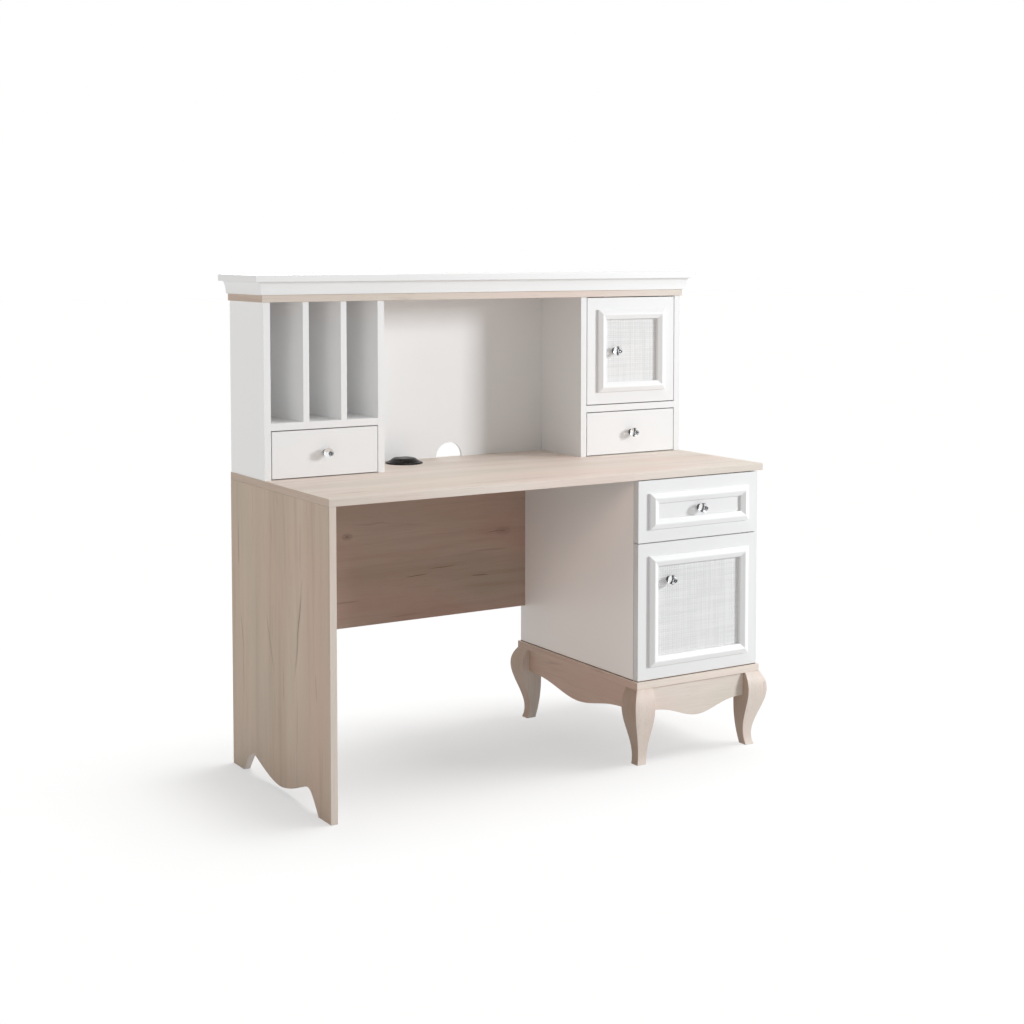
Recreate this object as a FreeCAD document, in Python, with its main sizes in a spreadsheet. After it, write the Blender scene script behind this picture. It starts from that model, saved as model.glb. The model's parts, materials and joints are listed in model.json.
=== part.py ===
import FreeCAD, Part

import os
import re

# Student desk with a hutch: a wood top on a shaped side panel and a pedestal with cabriole legs,
# and a white hutch with paper slots, drawers and a caned door under a crowned top.
# Millimetres, +X to the user's right, -Y towards the user, +Z up, floor at z = 0.

# Driving dimensions. Each one is a cell of the sheet, under its own name.
SIZES = {
    # boards and cuts
    "board": 18.0,
    "back_thickness": 8.0,
    "back_inset": 3.0,
    "cut_overrun": 5.0,
    # desk
    "top_length": 1266.0,
    "top_depth": 571.0,
    "desk_height": 750.0,
    "panel_arch_height": 56.0,
    "modesty_height": 412.0,
    "modesty_inset": 18.0,
    # pedestal
    "pedestal_width": 386.0,
    "pedestal_setback": 13.0,
    "pedestal_overhang": 19.0,
    "pedestal_floor": 216.0,
    "drawer_front_height": 158.25,
    "rail_width": 80.0,
    "front_thickness": 18.0,
    "front_gap": 2.5,
    "carcass_gap": 3.0,
    # pedestal base and legs
    "plate_thickness": 18.0,
    "plate_overhang": 6.0,
    "apron_thickness": 18.0,
    "apron_setback": 8.0,
    "apron_end_height": 61.0,
    "apron_belly": 30.0,
    "leg_width": 47.0,
    "knee_bulge": 15.5,
    "knee_drop": 45.0,
    "ankle_height": 50.0,
    "ankle_inset": 11.0,
    "ankle_width": 33.0,
    "foot_inset": 8.0,
    "foot_width": 28.0,
    # hutch
    "hutch_inset": 2.0,
    "hutch_depth": 208.0,
    "hutch_side_height": 435.0,
    "left_clear": 293.0,
    "right_clear": 297.0,
    "drawer_bay_height": 121.0,
    "divider_thickness": 16.0,
    "cutout_radius": 40.0,
    # hutch top and crown
    "top_board_overhang": 5.0,
    "crown_height": 32.0,
    "crown_foot_overhang": 10.0,
    "crown_lip_overhang": 18.0,
    "crown_inset": 12.0,
    "cap_thickness": 16.0,
    "cap_overhang": 31.0,
    # door and drawer fronts
    "moulding_margin": 33.0,
    "moulding_width": 26.0,
    "moulding_height": 12.0,
    "moulding_crest": 3.0,
    "moulding_quirk": 6.0,
    "insert_thickness": 8.0,
    "insert_recess": 3.0,
    # drawer boxes and runners
    "drawer_side": 12.0,
    "drawer_bottom": 5.0,
    "bottom_lift": 6.0,
    "box_lift": 14.0,
    "hutch_box_depth": 165.0,
    "hutch_box_height": 84.0,
    "pedestal_box_gap": 49.0,
    "pedestal_box_height": 112.0,
    "runner_space": 13.0,
    "channel_width": 12.0,
    "channel_height": 30.0,
    "channel_wall": 1.5,
    "channel_setback": 2.0,
    "rail_end_gap": 0.5,
    "rail_clearance": 0.3,
    # door pivots and catches
    "pin_radius": 2.0,
    "pin_length": 10.0,
    "pin_clearance": 0.05,
    "pin_end_gap": 0.5,
    "inset_axis_offset": 4.0,
    "overlay_axis_offset": 5.0,
    "pivot_thickness": 1.8,
    "pivot_length": 24.0,
    "pivot_rim": 3.0,
    "pivot_tab_height": 9.0,
    "catch_length": 40.0,
    "catch_depth": 22.0,
    "catch_height": 12.0,
    "catch_offset": 30.0,
    "strike_thickness": 1.5,
    "strike_edge": 1.0,
    "catch_gap": 0.3,
    # knobs
    "knob_reach": 31.0,
    "crystal_radius": 12.5,
    "rosette_radius": 8.0,
    "rosette_height": 4.0,
    "stem_foot_radius": 4.5,
    "stem_head_radius": 8.0,
    "stem_height": 7.0,
    "screw_radius": 2.0,
    "screw_bore_gap": 0.1,
    "screw_head_radius": 4.0,
    "screw_head_height": 2.5,
    "hutch_knob_inset": 32.0,
    "pedestal_knob_inset": 39.0,
    "pedestal_knob_drop": 38.0,
    # cable outlet
    "cable_from_partition": 130.0,
    "cable_from_back": 70.0,
    "cable_hole_radius": 40.0,
    "cable_fit": 0.3,
    "ring_radius": 50.0,
    "ring_lip_radius": 47.0,
    "ring_height": 4.0,
    "ring_wall": 4.0,
    "cap_spigot_height": 9.0,
    "dome_foot_radius": 43.0,
    "dome_top_radius": 28.0,
    "dome_height": 10.5,
    "cable_slot_width": 22.0,
    "cable_slot_inset": 21.0,
}

# Places worked out from the driving dimensions, in a sheet of their own.
PLACES = {
    "left_x": "-top_length / 2",
    "right_x": "top_length / 2",
    "pedestal_depth": "top_depth - pedestal_setback",
    "front_y": "(knob_reach - pedestal_depth - plate_overhang - knee_bulge) / 2",
    "back_y": "front_y + top_depth",
    "top_under": "desk_height - board",
    # pedestal
    "pedestal_right_x": "right_x - pedestal_overhang",
    "pedestal_left_x": "pedestal_right_x - pedestal_width",
    "pedestal_clear_x": "pedestal_left_x + board",
    "pedestal_clear": "pedestal_width - 2 * board",
    "carcass_y": "front_y + front_thickness + carcass_gap",
    "pedestal_back_y": "front_y + pedestal_depth",
    "carcass_depth": "pedestal_back_y - carcass_y",
    "pedestal_back_face": "pedestal_back_y - back_inset - back_thickness",
    "shelf_depth": "pedestal_back_face - carcass_y",
    "pedestal_box_depth": "pedestal_back_face - front_y - front_thickness - pedestal_box_gap",
    "drawer_head_z": "top_under - front_gap",
    "drawer_foot_z": "drawer_head_z - drawer_front_height",
    "drawer_split": "drawer_foot_z - front_gap / 2",
    "door_head_z": "drawer_split - front_gap / 2",
    "door_foot_z": "pedestal_floor + front_gap",
    # base
    "leg_height": "pedestal_floor - plate_thickness",
    "plate_left_x": "pedestal_left_x - plate_overhang",
    "plate_right_x": "pedestal_right_x + plate_overhang",
    "plate_front_y": "front_y - plate_overhang",
    "plate_back_y": "pedestal_back_y + plate_overhang",
    # hutch
    "hutch_left_x": "left_x + hutch_inset",
    "hutch_right_x": "right_x - hutch_inset",
    "hutch_width": "hutch_right_x - hutch_left_x",
    "hutch_front_y": "back_y - hutch_depth",
    "hutch_back_face": "back_y - back_inset - back_thickness",
    "hutch_clear_depth": "hutch_back_face - hutch_front_y",
    "hutch_top_z": "desk_height + hutch_side_height",
    "left_clear_x": "hutch_left_x + board",
    "left_partition_x": "left_clear_x + left_clear",
    "right_partition_x": "hutch_right_x - 2 * board - right_clear",
    "right_clear_x": "right_partition_x + board",
    "right_side_x": "hutch_right_x - board",
    "bay_x": "left_partition_x + board",
    "bay_centre_x": "(bay_x + right_partition_x) / 2",
    "shelf_z": "desk_height + drawer_bay_height",
    "slot_floor_z": "shelf_z + board",
    "slot_width": "(left_clear - 2 * divider_thickness) / 3",
    # crown
    "crown_z": "hutch_top_z + board",
    "cap_z": "crown_z + crown_height",
    "crown_flare": "crown_lip_overhang - crown_foot_overhang",
    "cove_radius": "(crown_height ^ 2 + crown_flare ^ 2) / (2 * crown_flare)",
    "crown_outer": "hutch_width / 2 + crown_lip_overhang",
    "crown_inner": "hutch_width / 2 - crown_inset",
    "cove_axis": "crown_foot_overhang + cove_radius",
    # doors
    "hutch_door_left": "right_clear_x + front_gap",
    "hutch_door_right": "right_side_x - front_gap",
    "hutch_door_foot": "slot_floor_z + front_gap",
    "hutch_door_head": "hutch_top_z - front_gap",
    "inset_axis_x": "hutch_door_right - inset_axis_offset",
    "inset_axis_y": "hutch_front_y + inset_axis_offset",
    "overlay_axis_x": "pedestal_right_x - overlay_axis_offset",
    "overlay_axis_y": "front_y + front_thickness - overlay_axis_offset",
    "frame_border": "moulding_margin + moulding_width",
    "slope_width": "(moulding_width - moulding_crest) / 2",
    # cable outlet
    "cable_x": "bay_x + cable_from_partition",
    "cable_y": "back_y - cable_from_back",
    "tube_radius": "cable_hole_radius - cable_fit",
    "tube_bore": "tube_radius - ring_wall",
    "dome_z": "desk_height + ring_height + cable_fit",
}

# Lower edge of the side panel: shares of its depth and of the arch's height, front half.
PANEL_EDGE_SHARES = ((0.118, 0.0), (0.134, 0.24), (0.153, 0.49), (0.175, 0.755), (0.198, 0.94),
                     (0.2205, 1.0), (0.257, 0.915), (0.299, 0.762), (0.368, 0.525), (0.438, 0.352),
                     (0.5, 0.286))
# Lower edge of an apron: shares of its length and of the belly's drop, first half.
APRON_EDGE_SHARES = ((0.0, 0.0), (0.08, 0.02), (0.2, 0.22), (0.34, 0.68), (0.5, 1.0))

WORD = re.compile(r"[a-z][a-z0-9_]*")
doc = FreeCAD.newDocument("desk_with_hutch")
nodes = []


def formula(text):
    """A formula in which each size and place names its sheet."""
    def with_sheet(match):
        word = match.group()
        if word in SIZES:
            return "Size." + word
        return "Place." + word if word in PLACES else word
    return WORD.sub(with_sheet, text)


def make_sheet(name, cells):
    sheet = doc.addObject("Spreadsheet::Sheet", name)
    for row, (alias, content) in enumerate(cells.items(), start=1):
        sheet.set(f"A{row}", alias)
        sheet.set(f"B{row}", content)
        sheet.setAlias(f"B{row}", alias)
    return sheet


size_sheet = make_sheet("Size", {name: str(size) for name, size in SIZES.items()})
place_sheet = make_sheet("Place", {name: "=" + formula(text) for name, text in PLACES.items()})
doc.recompute()


def value(name):
    """A size or place as a number, for the curved shapes."""
    return float(getattr(size_sheet if name in SIZES else place_sheet, name))


def bind(solid, **formulas):
    for prop, text in formulas.items():
        solid.setExpression(prop, formula(text))


def locate(solid, corner):
    for axis, text in zip("xyz", corner):
        solid.setExpression("Placement.Base." + axis, formula(text))


def box(name, corner, extent):
    solid = doc.addObject("Part::Box", name)
    bind(solid, Length=extent[0], Width=extent[1], Height=extent[2])
    locate(solid, corner)
    return solid


def cylinder(name, centre, radius, height, turn=None):
    """A cylinder that stands on its centre, along +Z or along the axis that turn gives."""
    solid = doc.addObject("Part::Cylinder", name)
    bind(solid, Radius=radius, Height=height)
    if turn:
        solid.Placement.Rotation = turn
    locate(solid, centre)
    return solid


def cone(name, centre, foot_radius, top_radius, height, turn=None):
    solid = doc.addObject("Part::Cone", name)
    bind(solid, Radius1=foot_radius, Radius2=top_radius, Height=height)
    if turn:
        solid.Placement.Rotation = turn
    locate(solid, centre)
    return solid


def wedge(name, near, far, turn=None):
    """A prism that tapers along Y. near and far are (x low, x high, y, z low, z high)."""
    solid = doc.addObject("Part::Wedge", name)
    bind(solid, Xmin=near[0], Xmax=near[1], Ymin=near[2], Zmin=near[3], Zmax=near[4])
    bind(solid, X2min=far[0], X2max=far[1], Ymax=far[2], Z2min=far[3], Z2max=far[4])
    if turn:
        solid.Placement.Rotation = turn
    return solid


def fuse(name, *shapes):
    solid = doc.addObject("Part::MultiFuse", name)
    solid.Shapes = list(shapes)
    return solid


def cut(name, base, *tools):
    solid = doc.addObject("Part::Cut", name)
    solid.Base = base
    solid.Tool = tools[0] if len(tools) == 1 else fuse(name + "_cutters", *tools)
    return solid


def group(name, *shapes):
    """Separate solids that share one node."""
    solid = doc.addObject("Part::Compound", name)
    solid.Links = list(shapes)
    return solid


def node(solid):
    """Keep a finished piece. Its label names its file."""
    nodes.append(solid)
    return solid


ALONG_X = FreeCAD.Rotation(FreeCAD.Vector(0, 1, 0), 90)
ALONG_BACK = FreeCAD.Rotation(FreeCAD.Vector(1, 0, 0), -90)
TOWARDS_USER = FreeCAD.Rotation(FreeCAD.Vector(1, 0, 0), 90)
DOWNWARD = FreeCAD.Rotation(FreeCAD.Vector(1, 0, 0), 180)


# Shaped edges

def mirrored_edge(shares):
    """The shares of a whole edge from those of its first half."""
    return shares + tuple((1 - along, rise) for along, rise in reversed(shares[:-1]))


def spline(points):
    curve = Part.BSplineCurve()
    curve.interpolate([FreeCAD.Vector(*point) for point in points])
    return curve.toShape()


def closed_face(curve, corners):
    """A face bounded by an edge and the corners that lead from its end back to its start."""
    first, last = curve.Vertexes[0].Point, curve.Vertexes[-1].Point
    stops = [last] + [FreeCAD.Vector(*corner) for corner in corners] + [first]
    sides = [Part.makeLine(start, stop) for start, stop in zip(stops, stops[1:])]
    return Part.Face(Part.Wire([curve] + sides))


def feature(name, shape):
    solid = doc.addObject("Part::Feature", name)
    solid.Shape = shape
    return solid


# Desk

def make_cable_hole(name):
    return cylinder(name, ("cable_x", "cable_y", "top_under - cut_overrun"),
                    "cable_hole_radius", "board + 2 * cut_overrun")


def make_desk_top():
    blank = box("desk_top_blank", ("left_x", "front_y", "top_under"), ("top_length", "top_depth", "board"))
    node(cut("desk_top", blank, make_cable_hole("cable_hole")))


def make_left_side_panel():
    depth, arch = value("top_depth"), value("panel_arch_height")
    front, overrun = value("front_y"), value("cut_overrun")
    outer = value("left_x") - overrun
    edge = spline([(outer, front + along * depth, rise * arch)
                   for along, rise in mirrored_edge(PANEL_EDGE_SHARES)])
    start, end = edge.Vertexes[0].Point, edge.Vertexes[-1].Point
    face = closed_face(edge, [(outer, end.y, -overrun), (outer, start.y, -overrun)])
    arch_cutter = feature("panel_arch", face.extrude(FreeCAD.Vector(value("board") + 2 * overrun, 0, 0)))
    blank = box("left_panel_blank", ("left_x", "front_y", "0"), ("board", "top_depth", "top_under"))
    node(cut("left_side_panel", blank, arch_cutter))


def make_modesty_panel():
    node(box("modesty_panel",
             ("left_x + board", "back_y - modesty_inset - board", "top_under - modesty_height"),
             ("pedestal_left_x - left_x - board", "board", "modesty_height")))


# Pedestal

def make_pedestal():
    side = ("board", "carcass_depth", "top_under - pedestal_floor")
    node(box("pedestal_left_side", ("pedestal_left_x", "carcass_y", "pedestal_floor"), side))
    node(box("pedestal_right_side", ("pedestal_right_x - board", "carcass_y", "pedestal_floor"), side))
    node(box("pedestal_back", ("pedestal_clear_x", "pedestal_back_face", "pedestal_floor"),
             ("pedestal_clear", "back_thickness", "top_under - pedestal_floor")))
    shelf = ("pedestal_clear", "shelf_depth", "board")
    node(box("pedestal_bottom", ("pedestal_clear_x", "carcass_y", "pedestal_floor"), shelf))
    node(box("pedestal_divider", ("pedestal_clear_x", "carcass_y", "drawer_split - board / 2"), shelf))
    rail = ("pedestal_clear", "rail_width", "board")
    front_rail = box("front_rail", ("pedestal_clear_x", "carcass_y", "top_under - board"), rail)
    rear_rail = box("rear_rail",
                    ("pedestal_clear_x", "pedestal_back_face - rail_width", "top_under - board"), rail)
    node(group("pedestal_top_rails", front_rail, rear_rail))


def make_base_plate():
    node(box("base_plate", ("plate_left_x", "plate_front_y", "leg_height"),
             ("plate_right_x - plate_left_x", "plate_back_y - plate_front_y", "plate_thickness")))


def apron_shape(span):
    """An apron that starts at the origin and runs along +X, with its top edge at the legs' height."""
    top, end = value("leg_height"), value("leg_height") - value("apron_end_height")
    edge = spline([(along * span, 0, end - drop * value("apron_belly"))
                   for along, drop in mirrored_edge(APRON_EDGE_SHARES)])
    face = closed_face(edge, [(span, 0, top), (0, 0, top)])
    return face.extrude(FreeCAD.Vector(0, value("apron_thickness"), 0))


def make_aprons():
    inset, setback, thickness = value("leg_width"), value("apron_setback"), value("apron_thickness")
    left, right = value("plate_left_x"), value("plate_right_x")
    front, back = value("plate_front_y"), value("plate_back_y")
    across, along = right - left - 2 * inset, back - front - 2 * inset
    quarter = FreeCAD.Rotation(FreeCAD.Vector(0, 0, 1), 90)
    places = {
        "apron_front": (across, (left + inset, front + setback), FreeCAD.Rotation()),
        "apron_rear": (across, (left + inset, back - setback - thickness), FreeCAD.Rotation()),
        "apron_left": (along, (left + setback + thickness, front + inset), quarter),
        "apron_right": (along, (right - setback, front + inset), quarter),
    }
    for name, (span, (x, y), turn) in places.items():
        apron = node(feature(name, apron_shape(span)))
        apron.Placement = FreeCAD.Placement(FreeCAD.Vector(x, y, 0), turn)


def leg_face():
    """The sawn outline of a leg, with the plate's edge at x = 0 and the inside towards +X."""
    top, width = value("leg_height"), value("leg_width")
    ankle, ankle_in = value("ankle_height"), value("ankle_inset")
    foot_in = value("foot_inset")
    knee = (-value("knee_bulge"), 0, top - value("knee_drop"))
    outer = spline([(0, 0, top), knee, (ankle_in, 0, ankle), (foot_in, 0, 0)])
    square_foot = top - value("apron_end_height")
    inner = spline([(foot_in + value("foot_width"), 0, 0),
                    (ankle_in + value("ankle_width"), 0, ankle), (width, 0, square_foot)])
    toe = Part.makeLine(outer.Vertexes[-1].Point, inner.Vertexes[0].Point)
    post = Part.makeLine(inner.Vertexes[-1].Point, FreeCAD.Vector(width, 0, top))
    head = Part.makeLine(FreeCAD.Vector(width, 0, top), outer.Vertexes[0].Point)
    return Part.Face(Part.Wire([outer, toe, inner, post, head]))


def leg_shape():
    """Two like outlines sawn at right angles out of one block, at the plate's front left corner."""
    reach = value("leg_width") + value("knee_bulge") + value("cut_overrun")
    sawn = leg_face().extrude(FreeCAD.Vector(0, 2 * reach, 0))
    sawn.translate(FreeCAD.Vector(0, -reach, 0))
    corner, diagonal = FreeCAD.Vector(0, 0, 0), FreeCAD.Vector(1, -1, 0)
    return sawn.common(sawn.mirror(corner, diagonal)).Solids[0]


def make_legs():
    corner = FreeCAD.Vector(0, 0, 0)
    leg = leg_shape()
    for depth_name, y in (("front", value("plate_front_y")), ("rear", value("plate_back_y"))):
        for side_name, x in (("left", value("plate_left_x")), ("right", value("plate_right_x"))):
            shape = leg.copy()
            if side_name == "right":
                shape = shape.mirror(corner, FreeCAD.Vector(1, 0, 0))
            if depth_name == "rear":
                shape = shape.mirror(corner, FreeCAD.Vector(0, 1, 0))
            placed = node(feature(f"leg_{depth_name}_{side_name}", shape))
            placed.Placement.Base = FreeCAD.Vector(x, y, 0)


# Hutch

def make_hutch_boards():
    side = ("board", "hutch_depth", "hutch_side_height")
    node(box("hutch_left_side", ("hutch_left_x", "hutch_front_y", "desk_height"), side))
    node(box("hutch_right_side", ("right_side_x", "hutch_front_y", "desk_height"), side))
    partition = ("board", "hutch_clear_depth", "hutch_side_height")
    node(box("hutch_left_partition", ("left_partition_x", "hutch_front_y", "desk_height"), partition))
    node(box("hutch_right_partition", ("right_partition_x", "hutch_front_y", "desk_height"), partition))
    node(box("left_tower_shelf", ("left_clear_x", "hutch_front_y", "shelf_z"),
             ("left_clear", "hutch_clear_depth", "board")))
    node(box("right_tower_shelf", ("right_clear_x", "hutch_front_y", "shelf_z"),
             ("right_clear", "hutch_clear_depth", "board")))
    divider = ("divider_thickness", "hutch_clear_depth", "hutch_top_z - slot_floor_z")
    left_x, right_x = "left_clear_x + slot_width", "left_partition_x - slot_width - divider_thickness"
    node(group("slot_dividers",
               box("slot_divider_left", (left_x, "hutch_front_y", "slot_floor_z"), divider),
               box("slot_divider_right", (right_x, "hutch_front_y", "slot_floor_z"), divider)))


def make_hutch_back():
    blank = box("hutch_back_blank", ("left_clear_x", "hutch_back_face", "desk_height"),
                ("right_side_x - left_clear_x", "back_thickness", "hutch_side_height"))
    cable_cutout = cylinder("cable_cutout",
                            ("bay_centre_x", "hutch_back_face - cut_overrun", "desk_height"),
                            "cutout_radius", "back_thickness + 2 * cut_overrun", ALONG_BACK)
    node(cut("hutch_back", blank, cable_cutout))


def make_hutch_top():
    node(box("hutch_top_board",
             ("hutch_left_x - top_board_overhang", "hutch_front_y - top_board_overhang", "hutch_top_z"),
             ("hutch_width + 2 * top_board_overhang", "hutch_depth + top_board_overhang", "board")))
    node(box("hutch_cap", ("hutch_left_x - cap_overhang", "hutch_front_y - cap_overhang", "cap_z"),
             ("hutch_width + 2 * cap_overhang", "hutch_depth + cap_overhang", "cap_thickness")))


def make_crown():
    """Cove mouldings under the cap, mitred at the front corners, and the plain rail behind them."""
    heights = ("crown_z", "cap_z")
    lip, inset = "hutch_front_y - crown_lip_overhang", "hutch_front_y + crown_inset"
    blank = wedge("crown_front_blank", ("-crown_outer", "crown_outer", lip, *heights),
                  ("-crown_inner", "crown_inner", inset, *heights))
    cove = cylinder("front_cove", ("-crown_outer - cut_overrun", "hutch_front_y - cove_axis", "crown_z"),
                    "cove_radius", "2 * crown_outer + 2 * cut_overrun", ALONG_X)
    node(cut("crown_front", blank, cove))
    cove_y = lip + " - cut_overrun"
    cove_length = "hutch_depth + crown_lip_overhang + 2 * cut_overrun"
    spans = {
        "left": ((inset, "back_y"), (lip, "back_y"), "hutch_left_x - cove_axis", 90),
        "right": (("-back_y", f"-({inset})"), ("-back_y", f"-({lip})"), "hutch_right_x + cove_axis", -90),
    }
    for side, (inner_span, outer_span, cove_x, angle) in spans.items():
        blank = wedge(f"crown_{side}_blank", (*inner_span, "crown_inner", *heights),
                      (*outer_span, "crown_outer", *heights),
                      FreeCAD.Rotation(FreeCAD.Vector(0, 0, 1), angle))
        cove = cylinder(f"{side}_cove", (cove_x, cove_y, "crown_z"), "cove_radius", cove_length, ALONG_BACK)
        node(cut(f"crown_{side}", blank, cove))
    node(box("crown_rear_rail", ("-crown_inner", "back_y - board", "crown_z"),
             ("2 * crown_inner", "board", "crown_height")))


# Knobs, mouldings, drawers and doors

def screw_bore(name, x, y, z, thickness):
    """The hole for a knob's screw through a front whose face is at y."""
    return cylinder(name, (x, f"{y} - cut_overrun", z), "screw_radius + screw_bore_gap",
                    f"{thickness} + 2 * cut_overrun", ALONG_BACK)


def make_knob(owner, x, y, z, thickness):
    """A clear ball on a metal foot, held by a screw from behind the front that it stands on."""
    foot_y, stem_y = f"{y} - rosette_height", f"{y} - rosette_height - stem_height"
    rosette = cylinder(owner + "_rosette", (x, y, z), "rosette_radius", "rosette_height", TOWARDS_USER)
    stem = cone(owner + "_stem", (x, foot_y, z), "stem_foot_radius", "stem_head_radius", "stem_height",
                TOWARDS_USER)
    screw = cylinder(owner + "_screw", (x, y, z), "screw_radius", thickness, ALONG_BACK)
    screw_head = cylinder(owner + "_screw_head", (x, f"{y} + {thickness}", z), "screw_head_radius",
                          "screw_head_height", ALONG_BACK)
    ball = doc.addObject("Part::Sphere", owner + "_ball")
    bind(ball, Radius="crystal_radius")
    locate(ball, (x, f"{y} - knob_reach + crystal_radius", z))
    ball_half = cylinder(owner + "_ball_half", (x, stem_y, z), "crystal_radius + cut_overrun", "knob_reach",
                         TOWARDS_USER)
    crystal = doc.addObject("Part::Common", owner + "_crystal")
    crystal.Base, crystal.Tool = ball, ball_half
    node(group(owner + "_knob", fuse(owner + "_knob_foot", rosette, stem, screw, screw_head), crystal))


def make_moulding(owner, x, z, y):
    """A raised frame on a front. x and z are the front's low and high edges, y its face."""
    def ring(inset):
        return (f"{x[0]} + {inset}", f"{x[1]} - ({inset})"), (f"{z[0]} + {inset}", f"{z[1]} - ({inset})")

    crest_y, quirk_y = f"{y} - moulding_height", f"{y} - moulding_quirk"
    rings = {
        "outer": ring("moulding_margin"),
        "outer_crest": ring("moulding_margin + slope_width"),
        "inner_crest": ring("frame_border - slope_width"),
        "inner": ring("frame_border"),
    }

    def frustum(name, near, far):
        (near_x, near_z), (far_x, far_z) = rings[near], rings[far]
        return wedge(f"{owner}_{name}", (*near_x, crest_y, *near_z), (*far_x, quirk_y, *far_z))

    def slab(name, which, near_y, depth):
        (low_x, high_x), (low_z, high_z) = rings[which]
        return box(f"{owner}_{name}", (low_x, near_y, low_z),
                   (f"{high_x} - ({low_x})", depth, f"{high_z} - ({low_z})"))

    outside = fuse(owner + "_moulding_blank", frustum("outer_slope", "outer_crest", "outer"),
                   slab("outer_quirk", "outer", quirk_y, "moulding_quirk"))
    node(cut(owner + "_moulding", outside, frustum("inner_slope", "inner_crest", "inner"),
             slab("inner_well", "inner", crest_y, "moulding_height + cut_overrun")))


def make_drawer(owner, front_x, front_z, face_y, bay_x, bay_width, box_z, box_depth, box_height):
    """A drawer with its front, box, side rails and knob. Returns the channels that it runs in."""
    knob_x, knob_z = f"({front_x[0]} + {front_x[1]}) / 2", f"({front_z[0]} + {front_z[1]}) / 2"
    blank = box(owner + "_front_blank", (front_x[0], face_y, front_z[0]),
                (f"{front_x[1]} - ({front_x[0]})", "front_thickness", f"{front_z[1]} - ({front_z[0]})"))
    bore = screw_bore(owner + "_screw_bore", knob_x, face_y, knob_z, "front_thickness")
    node(cut(owner + "_front", blank, bore))
    make_knob(owner, knob_x, face_y, knob_z, "front_thickness")

    box_y = f"{face_y} + front_thickness"
    side_x = (f"{bay_x} + runner_space", f"{bay_x} + {bay_width} - runner_space - drawer_side")
    sides = [box(f"{owner}_side_{place}", (x, box_y, box_z), ("drawer_side", box_depth, box_height))
             for place, x in zip(("left", "right"), side_x)]
    inner_x, inner_width = f"{side_x[0]} + drawer_side", f"{bay_width} - 2 * runner_space - 2 * drawer_side"
    rear = box(owner + "_rear", (inner_x, f"{box_y} + {box_depth} - drawer_side", box_z),
               (inner_width, "drawer_side", box_height))
    bottom = box(owner + "_bottom", (inner_x, box_y, f"{box_z} + bottom_lift"),
                 (inner_width, f"{box_depth} - drawer_side", "drawer_bottom"))
    node(group(owner + "_box", *sides, rear, bottom))

    rail_reach = "runner_space - channel_wall - rail_end_gap"
    rail_height = "channel_height - 2 * channel_wall - 2 * rail_clearance"
    channel_z = f"{box_z} + ({box_height} - channel_height) / 2"
    rail_z = f"{channel_z} + channel_wall + rail_clearance"
    rail_x = (f"{bay_x} + channel_wall + rail_end_gap", f"{bay_x} + {bay_width} - runner_space")
    node(group(owner + "_rails", *[box(f"{owner}_rail_{place}", (x, box_y, rail_z),
                                       (rail_reach, box_depth, rail_height))
                                   for place, x in zip(("left", "right"), rail_x)]))

    channel_y = f"{box_y} + channel_setback + carcass_gap"
    channel_length = f"{box_depth} - channel_setback"
    channels = []
    for place, x, groove_shift in (("left", bay_x, "channel_wall"),
                                   ("right", f"{bay_x} + {bay_width} - channel_width", "-channel_wall")):
        bar = box(f"{owner}_channel_bar_{place}", (x, channel_y, channel_z),
                  ("channel_width", channel_length, "channel_height"))
        groove = box(f"{owner}_groove_{place}",
                     (f"{x} + {groove_shift}", f"{channel_y} - cut_overrun", f"{channel_z} + channel_wall"),
                     ("channel_width", f"{channel_length} + 2 * cut_overrun",
                      "channel_height - 2 * channel_wall"))
        channels.append(cut(f"{owner}_channel_{place}", bar, groove))
    return channels


def make_drawers():
    hutch_z = ("desk_height + front_gap", "shelf_z - front_gap")
    hutch_box = ("desk_height + box_lift", "hutch_box_depth", "hutch_box_height")
    left_x = ("left_clear_x + front_gap", "left_partition_x - front_gap")
    channels = make_drawer("left_drawer", left_x, hutch_z, "hutch_front_y", "left_clear_x", "left_clear",
                           *hutch_box)
    right_x = ("right_clear_x + front_gap", "right_side_x - front_gap")
    channels += make_drawer("right_drawer", right_x, hutch_z, "hutch_front_y", "right_clear_x",
                            "right_clear", *hutch_box)
    front_x, front_z = ("pedestal_left_x", "pedestal_right_x"), ("drawer_foot_z", "drawer_head_z")
    pedestal_box = ("drawer_split + board / 2 + box_lift", "pedestal_box_depth", "pedestal_box_height")
    channels += make_drawer("pedestal_drawer", front_x, front_z, "front_y", "pedestal_clear_x",
                            "pedestal_clear", *pedestal_box)
    make_moulding("pedestal_drawer", front_x, front_z, "front_y")
    node(group("drawer_channels", *channels))


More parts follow.
